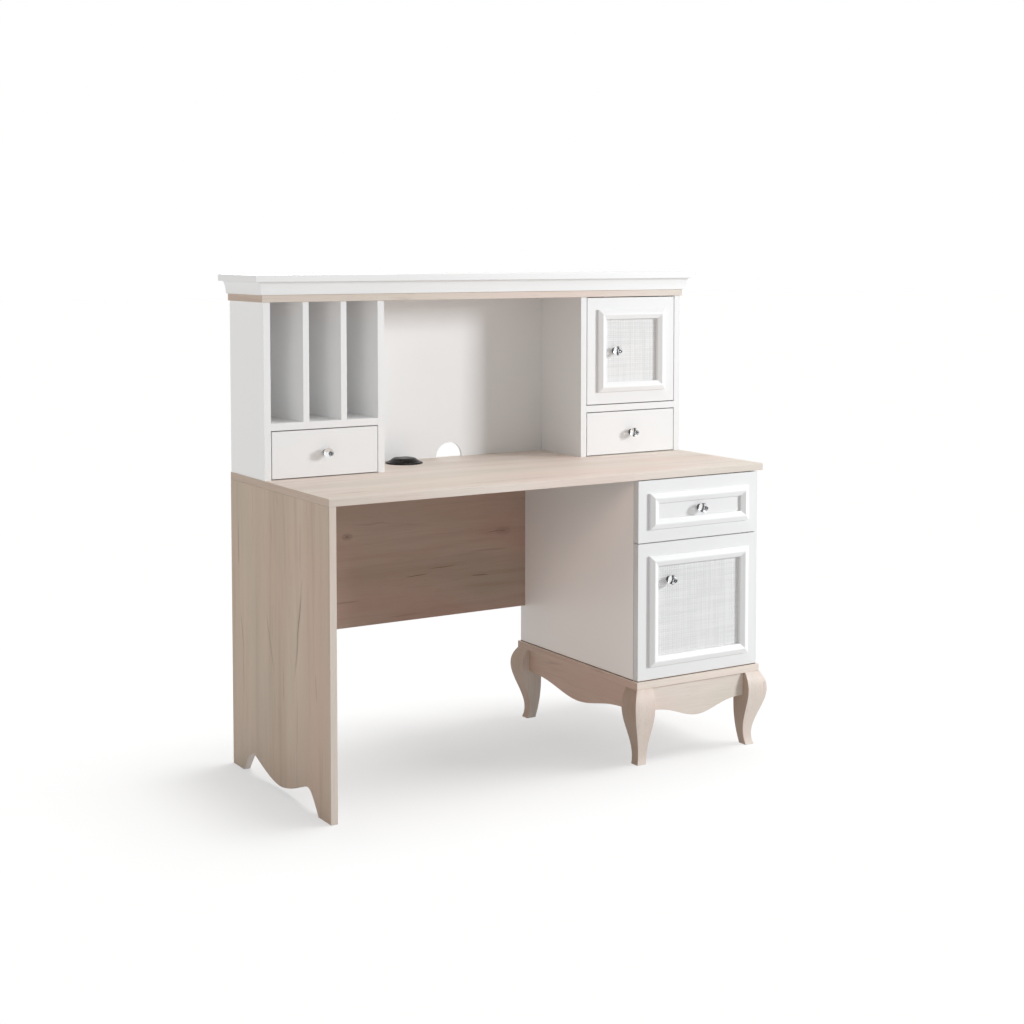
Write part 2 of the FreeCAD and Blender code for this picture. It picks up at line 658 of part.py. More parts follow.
def make_door(owner, x, z, face_y, axis, knob_inset, knob_z, strike_z):
    """A door with a caned insert in a moulded frame, bored at both ends for its pivots."""
    inner_x, inner_z = f"{x[0]} + frame_border", f"{z[0]} + frame_border"
    inner_width = f"{x[1]} - ({x[0]}) - 2 * frame_border"
    inner_height = f"{z[1]} - ({z[0]}) - 2 * frame_border"
    blank = box(owner + "_blank", (x[0], face_y, z[0]),
                (f"{x[1]} - ({x[0]})", "front_thickness", f"{z[1]} - ({z[0]})"))
    window = box(owner + "_window", (inner_x, f"{face_y} - cut_overrun", inner_z),
                 (inner_width, "front_thickness + 2 * cut_overrun", inner_height))
    bore_radius, bore_depth = "pin_radius + pin_clearance", "pin_length + pin_end_gap"
    foot_bore = cylinder(owner + "_foot_bore", (*axis, f"{z[0]} - cut_overrun"), bore_radius,
                         f"{bore_depth} + cut_overrun")
    head_bore = cylinder(owner + "_head_bore", (*axis, f"{z[1]} + cut_overrun"), bore_radius,
                         f"{bore_depth} + cut_overrun", DOWNWARD)
    node(cut(owner + "_frame", blank, window, foot_bore, head_bore))
    make_moulding(owner, x, z, face_y)

    insert_y = f"{face_y} + insert_recess"
    knob_x = f"{inner_x} + {knob_inset}"
    sheet = box(owner + "_insert_blank", (inner_x, insert_y, inner_z),
                (inner_width, "insert_thickness", inner_height))
    bore = screw_bore(owner + "_screw_bore", knob_x, insert_y, knob_z, "insert_thickness")
    node(cut(owner + "_cane", sheet, bore))
    make_knob(owner, knob_x, insert_y, knob_z, "insert_thickness")
    node(box(owner + "_strike", (f"{x[0]} + catch_offset", f"{face_y} + front_thickness", strike_z),
             ("catch_length", "strike_thickness", "catch_height - 2 * strike_edge - front_gap")))


def make_doors():
    make_door("hutch_door", ("hutch_door_left", "hutch_door_right"), ("hutch_door_foot", "hutch_door_head"),
              "hutch_front_y", ("inset_axis_x", "inset_axis_y"), "hutch_knob_inset",
              "(hutch_door_foot + hutch_door_head) / 2", "hutch_top_z - catch_height + strike_edge")
    make_door("pedestal_door", ("pedestal_left_x", "pedestal_right_x"), ("door_foot_z", "door_head_z"),
              "front_y", ("overlay_axis_x", "overlay_axis_y"), "pedestal_knob_inset",
              "door_head_z - frame_border - pedestal_knob_drop",
              "drawer_split - board / 2 - catch_height + strike_edge")


def make_pivot(name, axis, base_z, back_y, hanging=False):
    """A steel leaf on a board, with the pin that runs in a door's bore. A hanging one points down."""
    leaf_z = f"{base_z} - pivot_thickness" if hanging else base_z
    leaf = box(name + "_leaf", (f"{axis[0]} + pivot_rim - pivot_length", f"{axis[1]} - pivot_rim", leaf_z),
               ("pivot_length", f"{back_y} - {axis[1]} + pivot_rim", "pivot_thickness"))
    pin = cylinder(name + "_pin", (*axis, base_z), "pin_radius", "front_gap + pin_length",
                   DOWNWARD if hanging else None)
    return [leaf, pin]


def make_door_pivots():
    inset, overlay = ("inset_axis_x", "inset_axis_y"), ("overlay_axis_x", "overlay_axis_y")
    inset_back, overlay_back = "hutch_front_y + front_thickness", "front_y + front_thickness"
    hutch_foot = make_pivot("hutch_foot", inset, "slot_floor_z", inset_back)
    hutch_head = make_pivot("hutch_head", inset, "hutch_top_z", inset_back, hanging=True)
    pedestal_foot = make_pivot("pedestal_foot", overlay, "pedestal_floor", overlay_back)
    leaf_z = "drawer_split + pivot_thickness / 2"
    pedestal_head = make_pivot("pedestal_head", overlay, leaf_z, "carcass_y", hanging=True)
    tab = box("pedestal_head_tab",
              ("overlay_axis_x + pivot_rim - pivot_length", "carcass_y - pivot_thickness",
               "drawer_split - pivot_thickness / 2"),
              ("pivot_length", "pivot_thickness", "pivot_tab_height + pivot_thickness / 2"))
    node(group("door_pivots",
               fuse("hutch_foot_pivot", *hutch_foot),
               fuse("hutch_head_pivot", *hutch_head),
               fuse("pedestal_foot_pivot", *pedestal_foot),
               fuse("pedestal_head_pivot", *pedestal_head, tab)))


def make_door_catches():
    reach = "front_thickness + strike_thickness + catch_gap"
    catch = ("catch_length", "catch_depth", "catch_height")
    node(group("door_catches",
               box("hutch_catch", ("hutch_door_left + catch_offset", f"hutch_front_y + {reach}",
                                   "hutch_top_z - catch_height"), catch),
               box("pedestal_catch", ("pedestal_left_x + catch_offset", f"front_y + {reach}",
                                      "drawer_split - board / 2 - catch_height"), catch)))


# Cable outlet

def make_cable_outlet():
    centre = ("cable_x", "cable_y")
    flange = cone("ring_flange", (*centre, "desk_height"), "ring_radius", "ring_lip_radius", "ring_height")
    tube = cylinder("ring_tube", (*centre, "top_under"), "tube_radius", "board")
    bore = cylinder("ring_bore", (*centre, "top_under - cut_overrun"), "tube_bore",
                    "board + ring_height + 2 * cut_overrun")
    node(cut("cable_ring", fuse("ring_blank", flange, tube), bore))
    dome = cone("cap_dome", (*centre, "dome_z"), "dome_foot_radius", "dome_top_radius", "dome_height")
    spigot = cylinder("cap_spigot", (*centre, "dome_z - cap_spigot_height"), "tube_bore - cable_fit",
                      "cap_spigot_height")
    slot = box("cap_slot", ("cable_x - cable_slot_width / 2", "cable_y + cable_slot_inset",
                            "dome_z - cap_spigot_height - cut_overrun"),
               ("cable_slot_width", "dome_foot_radius",
                "cap_spigot_height + dome_height + 2 * cut_overrun"))
    node(cut("cable_cap", fuse("cap_blank", dome, spigot), slot))


def check_document():
    for obj in doc.Objects:
        if {"Invalid", "Error"} & set(obj.State):
            raise RuntimeError(f"{obj.Name} did not build: {obj.State}")
    for piece in nodes:
        if piece.Shape.isNull() or not piece.Shape.isValid() or not piece.Shape.Solids:
            raise RuntimeError(f"{piece.Label} has no valid solid")


make_desk_top()
make_left_side_panel()
make_modesty_panel()
make_pedestal()
make_base_plate()
make_aprons()
make_legs()
make_hutch_boards()
make_hutch_back()
make_hutch_top()
make_crown()
make_drawers()
make_doors()
make_door_pivots()
make_door_catches()
make_cable_outlet()
doc.recompute()
check_document()

os.makedirs("parts", exist_ok=True)
for piece in nodes:
    piece.Shape.exportStep(f"parts/{piece.Label}.step")
print(len(nodes), "nodes,", sum(len(piece.Shape.Solids) for piece in nodes), "solids")
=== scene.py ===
import json
import math
import random
from collections import namedtuple

import bmesh
import bpy
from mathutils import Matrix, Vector


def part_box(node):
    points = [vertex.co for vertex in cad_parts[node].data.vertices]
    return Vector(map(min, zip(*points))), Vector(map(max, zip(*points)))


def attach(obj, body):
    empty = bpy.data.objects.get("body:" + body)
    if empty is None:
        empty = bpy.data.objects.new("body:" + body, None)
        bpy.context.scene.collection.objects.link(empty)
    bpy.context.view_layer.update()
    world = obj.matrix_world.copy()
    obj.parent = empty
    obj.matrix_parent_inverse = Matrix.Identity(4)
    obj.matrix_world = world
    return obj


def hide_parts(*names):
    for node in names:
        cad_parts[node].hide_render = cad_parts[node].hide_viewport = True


# Looks of the student desk with hutch: eased boards, woven cane, clear knobs, materials and studio

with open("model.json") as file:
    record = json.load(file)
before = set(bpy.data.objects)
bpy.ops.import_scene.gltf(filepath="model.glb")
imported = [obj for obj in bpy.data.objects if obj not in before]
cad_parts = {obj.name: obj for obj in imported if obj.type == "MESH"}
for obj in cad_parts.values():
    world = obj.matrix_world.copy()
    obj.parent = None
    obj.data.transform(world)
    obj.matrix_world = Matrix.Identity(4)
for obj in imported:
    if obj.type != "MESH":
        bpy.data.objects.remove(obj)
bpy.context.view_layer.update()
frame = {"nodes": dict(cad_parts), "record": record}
RECORD = frame["record"]
SLOT_OF = {part["node"]: part["material_slot"] for part in RECORD["subparts"]}
BODY_OF = {node: body for body, members in RECORD["behaviour"]["bodies"].items() for node in members}
LEGS = tuple(f"leg_{end}_{side}" for end in ("front", "rear") for side in ("left", "right"))
MM = 0.001
X, Z = 0, 2


def rgb(red, green, blue):
    """A colour in display values, as the linear one that shaders take."""
    def linear(value):
        value /= 255
        return value / 12.92 if value <= 0.04045 else ((value + 0.055) / 1.055) ** 2.4
    return linear(red), linear(green), linear(blue), 1.0


# Materials

# Sockets of a Mix node that blends colours
MIX_FACTOR, MIX_FIRST, MIX_SECOND, MIX_RESULT = 0, 6, 7, 2


class Graph:
    """A material under construction: its principled surface and short calls for pattern nodes."""

    def __init__(self, name, **settings):
        self.material = bpy.data.materials.new(name)
        self.material.use_nodes = True
        self.tree = self.material.node_tree
        self.surface = self.tree.nodes["Principled BSDF"]
        self.set(**settings)

    def set(self, **settings):
        """Feed sockets of the surface. A space in a socket's name is written as an underscore."""
        for name, content in settings.items():
            self.feed(self.surface.inputs[name.replace("_", " ")], content)

    def feed(self, socket, content):
        if isinstance(content, bpy.types.NodeSocket):
            self.tree.links.new(content, socket)
        else:
            socket.default_value = content

    def node(self, kind, inputs=None, **settings):
        made = self.tree.nodes.new("ShaderNode" + kind)
        for name, content in settings.items():
            setattr(made, name, content)
        for name, content in (inputs or {}).items():
            self.feed(made.inputs[name], content)
        return made

    def place(self):
        return self.node("TexCoord").outputs["Object"]

    def noise(self, source, scale, shift=(0, 0, 0), detail=2.0, roughness=0.5):
        """Noise that varies about as often in a metre as scale says for each axis."""
        mapped = self.node("Mapping", {"Vector": source, "Scale": scale, "Location": shift})
        inputs = {"Vector": mapped.outputs["Vector"], "Scale": 1.0, "Detail": detail, "Roughness": roughness}
        return self.node("TexNoise", inputs).outputs["Fac"]

    def math(self, operation, *values):
        made = self.node("Math", operation=operation)
        for socket, content in zip(made.inputs, values):
            self.feed(socket, content)
        return made.outputs["Value"]

    def step(self, value, low, high, to_low=0.0, to_high=1.0):
        """A smooth change from to_low, where value is low, to to_high, where it is high."""
        inputs = {"Value": value, "From Min": low, "From Max": high, "To Min": to_low, "To Max": to_high}
        return self.node("MapRange", inputs, interpolation_type="SMOOTHSTEP").outputs["Result"]

    def mix(self, factor, first, second):
        inputs = {MIX_FACTOR: factor, MIX_FIRST: first, MIX_SECOND: second}
        return self.node("Mix", inputs, data_type="RGBA").outputs[MIX_RESULT]

    def bump(self, height, depth, strength):
        inputs = {"Height": height, "Distance": depth, "Strength": strength}
        self.set(Normal=self.node("Bump", inputs).outputs["Normal"])


def evenly(scale):
    return scale, scale, scale


def along_grain(grain, along, across):
    """A scale for patterns that run along one axis of the part."""
    return tuple(along if axis == grain else across for axis in "XYZ")


# Marks on one face of a board: lengths in metres, strength from 0 to 1. Along is the grain's axis, and
# FaceMarks names the axis across it.
Crack = namedtuple("Crack", "along across half_length half_width lean strength")
Knot = namedtuple("Knot", "along across half_length half_width strength")
Seam = namedtuple("Seam", "across half_width strength")
FaceMarks = namedtuple("FaceMarks", "across cracks knots seams")
# A crack's half width at its ends, and how far marks wander sideways in all, in metres.
# The wander's scale is along and across the grain.
HAIRLINE = 0.00002
WANDER = 0.006
WANDER_SCALE = (14, 40)
# A knot's reach into the grain, in multiples of its size, the share by which it pushes the grain aside,
# and how closely its rings follow each other
KNOT_REACH = 2.6
KNOT_PUSH = 0.62
KNOT_RINGS = 11.0

# Washed oak, in display values: its deep and pale bands, the seams between strips, cracks and knots
BAND_COLOURS = ((220, 207, 195), (233, 222, 212))
SEAM_COLOUR = (228, 217, 206)
MARK_COLOUR = (104, 84, 70)
# Patterns: how often they vary in a metre along and across the grain, detail, roughness
GRAIN_PATTERNS = {
    "bands": (0.45, 9, 2, 0.5),
    "blush": (2.0, 5.5, 2, 0.5),
    "veins": (1.3, 42, 3, 0.55),
    "fibres": (7, 520, 3, 0.6),
    "pores": (22, 900, 2, 0.5),
    "flames": (4.2, 60, 3, 0.55),
}
# Colours laid over the bands: pattern, two of its values, the share of the colour at each of them, colour
GRAIN_COLOURS = (
    ("blush", 0.46, 0.68, 0.0, 0.5, (229, 207, 197)),
    ("blush", 0.32, 0.46, 0.4, 0.0, (215, 209, 196)),
    ("veins", 0.5, 0.78, 0.0, 0.34, (192, 174, 160)),
    ("fibres", 0.44, 0.72, 0.0, 0.18, (186, 167, 153)),
    ("pores", 0.62, 0.75, 0.0, 0.24, (165, 146, 131)),
    ("flames", 0.64, 0.8, 0.0, 0.42, (157, 137, 121)),
)
# How far the grain sways, in metres, how often along and across it, and where each seed starts in the noise
SWAY = 0.05
SWAY_SCALE = (1.1, 5)
SEED_STEP = (3.7, 1.9, 5.3)


def knot_distance(graph, run, side, knot):
    """How far a point is from a knot's middle: 0 there and 1 at its rim."""
    squares = []
    for value, centre, half in ((run, knot.along, knot.half_length), (side, knot.across, knot.half_width)):
        offset = graph.math("DIVIDE", graph.math("SUBTRACT", value, centre), half)
        squares.append(graph.math("MULTIPLY", offset, offset))
    return graph.math("SQRT", graph.math("ADD", *squares))


def knot_core(graph, distance):
    """The dark middle of a knot, with its rings."""
    rings = graph.math("SINE", graph.math("MULTIPLY", distance, KNOT_RINGS))
    return graph.math("MULTIPLY", graph.step(distance, 0.15, 1.1, to_low=1.0, to_high=0.0),
                      graph.step(rings, -1.0, 1.0, to_low=0.55, to_high=1.0))


def crack_line(graph, run, side, crack):
    """A split in the wood that tapers to both ends: 1 on its line and 0 beside it."""
    offset = graph.math("SUBTRACT", run, crack.along)
    share = graph.math("DIVIDE", offset, crack.half_length)
    taper = graph.math("SUBTRACT", 1.0, graph.math("MULTIPLY", share, share))
    width = graph.math("MAXIMUM", graph.math("MULTIPLY", taper, crack.half_width), HAIRLINE)
    line = graph.math("ADD", crack.across, graph.math("MULTIPLY", offset, crack.lean))
    distance = graph.math("ABSOLUTE", graph.math("SUBTRACT", side, line))
    return graph.step(distance, 0.0, width, to_low=1.0, to_high=0.0)


def lay_marks(graph, point, grain, shift, marks):
    """A face's dark and pale marks, and the place to read the grain at, which bends round the knots."""
    split = graph.node("SeparateXYZ", {"Vector": point}).outputs
    run, side = split[grain], split[marks.across]
    wander = graph.math("SUBTRACT", graph.noise(point, along_grain(grain, *WANDER_SCALE), shift), 0.5)
    bent = graph.math("ADD", side, graph.math("MULTIPLY", wander, WANDER))
    dark, pale, push = [], [], 0.0
    for knot in marks.knots:
        distance = knot_distance(graph, run, bent, knot)
        weight = graph.step(distance, 0.0, KNOT_REACH, to_low=1.0, to_high=0.0)
        away = graph.math("MULTIPLY", graph.math("SUBTRACT", side, knot.across), weight)
        push = graph.math("ADD", push, graph.math("MULTIPLY", away, -KNOT_PUSH))
        dark.append(graph.math("MULTIPLY", knot_core(graph, distance), knot.strength))
    for crack in marks.cracks:
        dark.append(graph.math("MULTIPLY", crack_line(graph, run, bent, crack), crack.strength))
    for seam in marks.seams:
        distance = graph.math("ABSOLUTE", graph.math("SUBTRACT", side, seam.across))
        pale.append(graph.step(distance, 0.0, seam.half_width, to_low=seam.strength, to_high=0.0))
    moved = {axis: split[axis] for axis in "XYZ"}
    moved[marks.across] = graph.math("ADD", side, push)
    return graph.node("CombineXYZ", moved).outputs["Vector"], dark, pale


def wood(name, grain, seed, tint=(1.0, 1.0, 1.0), patches=1.0, marks=None):
    """Washed oak with its grain along one axis of the part. patches is the strength of its blush."""
    def tinted(colour):
        return tuple(channel * part for channel, part in zip(rgb(*colour), tint)) + (1.0,)

    graph = Graph(name, Specular_IOR_Level=0.35)
    point = graph.place()
    shift = tuple(seed * step for step in SEED_STEP)
    dark_marks, pale_marks = (), ()
    if marks:
        point, dark_marks, pale_marks = lay_marks(graph, point, grain, shift, marks)

    sway = graph.math("SUBTRACT", graph.noise(point, along_grain(grain, *SWAY_SCALE), shift), 0.5)
    bend = along_grain(grain, 0.0, graph.math("MULTIPLY", sway, SWAY))
    bend = graph.node("CombineXYZ", dict(zip("XYZ", bend))).outputs["Vector"]
    swayed = graph.node("VectorMath", {0: point, 1: bend}, operation="ADD").outputs["Vector"]
    patterns = {}
    for pattern, (along, across, detail, roughness) in GRAIN_PATTERNS.items():
        patterns[pattern] = graph.noise(swayed, along_grain(grain, along, across), shift, detail, roughness)

    colour = graph.mix(graph.step(patterns["bands"], 0.3, 0.7), *map(tinted, BAND_COLOURS))
    for pattern, low, high, to_low, to_high, layer in GRAIN_COLOURS:
        gain = patches if pattern == "blush" else 1.0
        share = graph.step(patterns[pattern], low, high, to_low * gain, to_high * gain)
        colour = graph.mix(share, colour, tinted(layer))
    relief = graph.math("ADD", graph.math("MULTIPLY", patterns["fibres"], 0.6),
                        graph.math("MULTIPLY", patterns["pores"], -0.5))
    for mark in pale_marks:
        colour = graph.mix(mark, colour, tinted(SEAM_COLOUR))
    for mark in dark_marks:
        colour = graph.mix(mark, colour, tinted(MARK_COLOUR))
        relief = graph.math("SUBTRACT", relief, mark)
    roughness = graph.step(patterns["veins"], 0.3, 0.8, to_low=0.46, to_high=0.62)
    graph.set(Base_Color=colour, Roughness=roughness)
    graph.bump(relief, depth=0.00025, strength=0.35)
    return graph.material


def white_lacquer():
    """Sprayed lacquer with a faint orange peel."""
    graph = Graph("white_lacquer", Specular_IOR_Level=0.45)
    point = graph.place()
    cloud = graph.noise(point, evenly(3), detail=3)
    peel = graph.noise(point, evenly(420))
    colour = graph.mix(cloud, rgb(238, 238, 238), rgb(242, 242, 242))
    graph.set(Base_Color=colour, Roughness=graph.step(cloud, 0.3, 0.7, to_low=0.34, to_high=0.42))
    graph.bump(peel, depth=0.0001, strength=0.25)
    return graph.material


def drawer_board():
    """White melamine with a fine pressed grain."""
    graph = Graph("drawer_board", Specular_IOR_Level=0.4)
    grain = graph.noise(graph.place(), (160, 14, 160), detail=3)
    colour = graph.mix(graph.step(grain, 0.3, 0.75), rgb(236, 236, 234), rgb(228, 227, 224))
    graph.set(Base_Color=colour, Roughness=graph.step(grain, 0.2, 0.8, to_low=0.5, to_high=0.6))
    graph.bump(grain, depth=0.0001, strength=0.3)
    return graph.material


def cane():
    """Painted cane: each strand a little different, with faint fibres."""
    graph = Graph("cane", Specular_IOR_Level=0.3)
    point = graph.place()
    upright = graph.noise(point, (150, 20, 6))
    level = graph.noise(point, (6, 20, 150))
    fibres = graph.noise(point, evenly(900))
    shade = graph.math("MULTIPLY", graph.math("ADD", upright, level), 0.5)
    colour = graph.mix(graph.step(shade, 0.36, 0.64), rgb(232, 232, 232), rgb(241, 241, 241))
    graph.set(Base_Color=colour, Roughness=graph.step(fibres, 0.2, 0.8, to_low=0.55, to_high=0.7))
    graph.bump(fibres, depth=0.0001, strength=0.3)
    return graph.material


def crystal():
    """Clear acrylic."""
    graph = Graph("crystal", Roughness=0.015, IOR=1.49, Transmission_Weight=1.0)
    cloud = graph.noise(graph.place(), evenly(120))
    graph.set(Base_Color=graph.mix(cloud, (0.95, 0.965, 0.97, 1.0), (0.99, 0.995, 1.0, 1.0)))
    return graph.material


def metal(name, base, bright, roughness, brush):
    """A metal with fine brushing. brush is how often its lines vary in a metre along each axis."""
    graph = Graph(name, Metallic=1.0)
    lines = graph.noise(graph.place(), brush, detail=3)
    graph.set(Base_Color=graph.mix(lines, base, bright))
    graph.set(Roughness=graph.step(lines, 0.2, 0.8, to_low=roughness * 0.75, to_high=roughness * 1.3))
    graph.bump(lines, depth=0.00003, strength=0.2)
    return graph.material


def black_plastic():
    """Moulded plastic with a fine spark-eroded surface."""
    graph = Graph("black_plastic", Specular_IOR_Level=0.22)
    point = graph.place()
    spark = graph.noise(point, evenly(1500))
    cloud = graph.noise(point, evenly(60))
    graph.set(Base_Color=graph.mix(cloud, rgb(16, 16, 16), rgb(27, 27, 26)))
    graph.set(Roughness=graph.step(cloud, 0.3, 0.7, to_low=0.26, to_high=0.36))
    graph.bump(spark, depth=0.0001, strength=0.35)
    return graph.material


PANEL_MARKS = FaceMarks(
    across="Y",
    cracks=(
        Crack(0.452, -0.111, 0.060, 0.0030, -0.22, 0.75),
        Crack(0.372, -0.098, 0.050, 0.0022, -0.13, 0.6),
        Crack(0.420, -0.104, 0.130, 0.0110, -0.18, 0.22),
        Crack(0.301, -0.199, 0.036, 0.0022, 0.06, 0.55),
        Crack(0.363, 0.060, 0.080, 0.0060, 0.31, 0.26),
        Crack(0.355, 0.230, 0.060, 0.0036, 0.18, 0.4),
        Crack(0.250, 0.224, 0.060, 0.0040, 0.02, 0.25),
        Crack(0.717, 0.014, 0.022, 0.0020, 0.4, 0.3),
        Crack(0.620, -0.118, 0.060, 0.0050, -0.02, 0.16),
        Crack(0.200, -0.095, 0.060, 0.0026, 0.0, 0.22),
    ),
    knots=(),
    seams=(Seam(0.020, 0.0016, 0.4), Seam(-0.238, 0.0014, 0.4)),
)
MODESTY_MARKS = FaceMarks(
    across="Z",
    cracks=(
        Crack(-0.117, 0.4391, 0.036, 0.0020, 0.04, 0.75),
        Crack(-0.038, 0.4542, 0.044, 0.0018, 0.05, 0.6),
        Crack(0.081, 0.4200, 0.030, 0.0022, -0.02, 0.8),
        Crack(0.130, 0.5380, 0.030, 0.0018, 0.05, 0.55),
        Crack(-0.334, 0.3874, 0.050, 0.0040, 0.02, 0.3),
        Crack(-0.150, 0.3350, 0.060, 0.0040, 0.02, 0.22),
    ),
    knots=(Knot(-0.324, 0.5615, 0.019, 0.012, 0.55), Knot(0.155, 0.5374, 0.030, 0.012, 0.35)),
    seams=(),
)

WOODS = {
    "X": wood("wood_along_x", "X", seed=1.0),
    # A darker copy of the wood along Y, painted shade: it darkens the left apron and the base plate's left
    # end
    "Y": wood("wood_along_y_painted_shade", "Y", seed=2.0, tint=(0.73, 0.64, 0.61)),
    "end": wood("wood_board_end", "Y", seed=8.0, tint=(1.08, 0.97, 0.90)),
    "Z": wood("wood_along_z", "Z", seed=3.0),
    # Dark brown wood, painted shadow: the strip at the foot of the pedestal's box
    "dark": wood("wood_painted_shadow_line", "X", seed=7.0, tint=(0.22, 0.18, 0.15)),
    # A darker copy of the wood along Z, painted shade on the legs' left-facing faces
    "leg_painted_shade": wood("wood_leg_painted_shade", "Z", seed=6.0, tint=(0.74, 0.64, 0.58)),
    "panel": wood("wood_side_panel", "Z", seed=4.0, tint=(1.05, 0.96, 0.86), patches=1.3,
                  marks=PANEL_MARKS),
    # A darker, warmer copy of the wood along X, painted shade on the modesty panel's front; its blush,
    # cracks and knots are the wood's own
    "modesty": wood("wood_modesty_front_painted_shade", "X", seed=5.0, tint=(0.63, 0.52, 0.475), patches=2.5,
                    marks=MODESTY_MARKS),
}
# Wood of each wooden node, the other wood that some of its faces show, and the way that those faces look.
# On the legs' left faces, the base plate's left end and the modesty panel's front, that other wood is a
# darker copy: painted shade.
LEFT, FRONT = Vector((-1, 0, 0)), Vector((0, -1, 0))
WOOD_OF = {
    "desk_top": ("X", "end", LEFT),
    "left_side_panel": ("Z", "panel", LEFT),
    "modesty_panel": ("X", "modesty", FRONT),
    "base_plate": ("X", "Y", LEFT),
    "hutch_top_board": ("X", "end", LEFT),
    "apron_front": ("X", "Z", LEFT),
    "apron_rear": ("X", "Z", LEFT),
    "apron_left": ("Y", "Z", FRONT),
    "apron_right": ("end", "Z", FRONT),
    **dict.fromkeys(LEGS, ("Z", "leg_painted_shade", LEFT)),
}
# A face looks a way if its normal has more than this share along it
LOOKS_THAT_WAY = 0.8

FINISHES = {
    "white_lacquer": white_lacquer(),
    "drawer_board": drawer_board(),
    "cane": cane(),
    "crystal": crystal(),
    "chrome": metal("chrome", (0.10, 0.10, 0.105, 1.0), (0.15, 0.15, 0.155, 1.0), 0.12, evenly(300)),
    "silver": metal("silver", (0.88, 0.88, 0.89, 1.0), (0.94, 0.94, 0.95, 1.0), 0.16, evenly(300)),
    "steel": metal("steel", (0.50, 0.51, 0.52, 1.0), (0.60, 0.61, 0.62, 1.0), 0.34, (900, 8, 900)),
    "black_plastic": black_plastic(),
}


# Pieces

def add_piece(name, bm, body, materials, stands_for=None, smooth_under=35):
    """A mesh that rides on a body, and stands for a CAD node if one is named."""
    mesh = bpy.data.meshes.new(name)
    bm.to_mesh(mesh)
    bm.free()
    for material in materials:
        mesh.materials.append(material)
    mesh.shade_smooth()
    mesh.set_sharp_from_angle(angle=math.radians(smooth_under))
    piece = bpy.data.objects.new(name, mesh)
    bpy.context.scene.collection.objects.link(piece)
    piece.modifiers.new("flat_faces", "WEIGHTED_NORMAL").keep_sharp = True
    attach(piece, body)
    if stands_for:
        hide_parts(stands_for)


# Radius of the eased edges and the shortest edge that is eased, in millimetres
EASED = {
    "wood": 0.9,
    "white_lacquer": 0.3,
    "drawer_board": 0.5,
    "steel": 0.25,
    "chrome": 0.2,
    "black_plastic": 0.7,
}
EASED_STEPS = 3
SHORTEST_EASED = 1.2
# Points closer than this become one, in millimetres. Faces that meet under the first angle, in degrees,
# join, and an edge is sharp above the second.
SAME_POINT = 0.01
FLAT_ANGLE = 0.4
SHARP_ANGLE = 18
# The outlet cap's rim: how far out and how near the top its edges lie, and its round, in millimetres
CAP_RIM = 26.0
CAP_RIM_DROP = 0.1
CAP_ROUND = 4.5
CAP_STEPS = 6


def round_edges(bm, edges, radius, steps):
    bmesh.ops.bevel(bm, geom=edges, offset=radius * MM, offset_type="OFFSET", segments=steps, profile=0.5,
                    affect="EDGES", clamp_overlap=False)


def cap_rim(bm, node):
    """The edges round the outlet cap's flat top."""
    low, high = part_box(node)
    middle = (low + high) / 2
    top = max(vert.co.z for vert in bm.verts)
    return [edge for edge in bm.edges
            if all(top - vert.co.z < CAP_RIM_DROP * MM and (vert.co.xy - middle.xy).length > CAP_RIM * MM
                   for vert in edge.verts)]


def eased_mesh(node, radius):
    """The node's shape with its sharp edges rounded."""
    bm = bmesh.new()
    bm.from_mesh(frame["nodes"][node].data)
    bmesh.ops.remove_doubles(bm, verts=bm.verts, dist=SAME_POINT * MM)
    bmesh.ops.dissolve_limit(bm, angle_limit=math.radians(FLAT_ANGLE), verts=bm.verts, edges=bm.edges)
    if node == "cable_cap":
        round_edges(bm, cap_rim(bm, node), CAP_ROUND, CAP_STEPS)
    sharp = [edge for edge in bm.edges
             if len(edge.link_faces) == 2 and edge.calc_face_angle() > math.radians(SHARP_ANGLE)
             and edge.calc_length() > SHORTEST_EASED * MM]
    round_edges(bm, sharp, radius, EASED_STEPS)
    return bm


def dress_node(node):
    """The node with eased edges. A wooden one shows another wood on the faces that WOOD_OF names."""
    slot = SLOT_OF[node]
    bm = eased_mesh(node, EASED[slot])
    if slot == "wood":
        main, other, way = WOOD_OF[node]
        for face in bm.faces:
            face.material_index = int(face.normal.dot(way) > LOOKS_THAT_WAY)
        materials = (WOODS[main], WOODS[other])
    else:
        materials = (FINISHES[slot],)
    add_piece(node + "_eased", bm, BODY_OF[node], materials, node)


def sweep(bm, rings, closed):
    """Faces between one ring of points and the next."""
    made = [[bm.verts.new(point) for point in ring] for ring in rings]
    count = len(made[0])
    for first, second in zip(made, made[1:]):
        for index in range(count if closed else count - 1):
            after = (index + 1) % count
            bm.faces.new((first[index], first[after], second[after], second[index]))
    return made


def solid_sweep(bm, rings):
    """A closed shape through rings of points. Returns its two end faces."""
    made = sweep(bm, rings, True)
    return bm.faces.new(made[0]), bm.faces.new(made[-1])


def lathe(bm, centre, profile, steps=40):
    """A turned shape on an axis towards the user. profile has distances from the face and radii, in mm."""
    turns = [math.tau * step / steps for step in range(steps)]
    rings = []
    for distance, radius in profile:
        rings.append([(centre.x + radius * MM * math.cos(turn), centre.y - distance * MM,
                       centre.z + radius * MM * math.sin(turn)) for turn in turns])
    return solid_sweep(bm, rings)


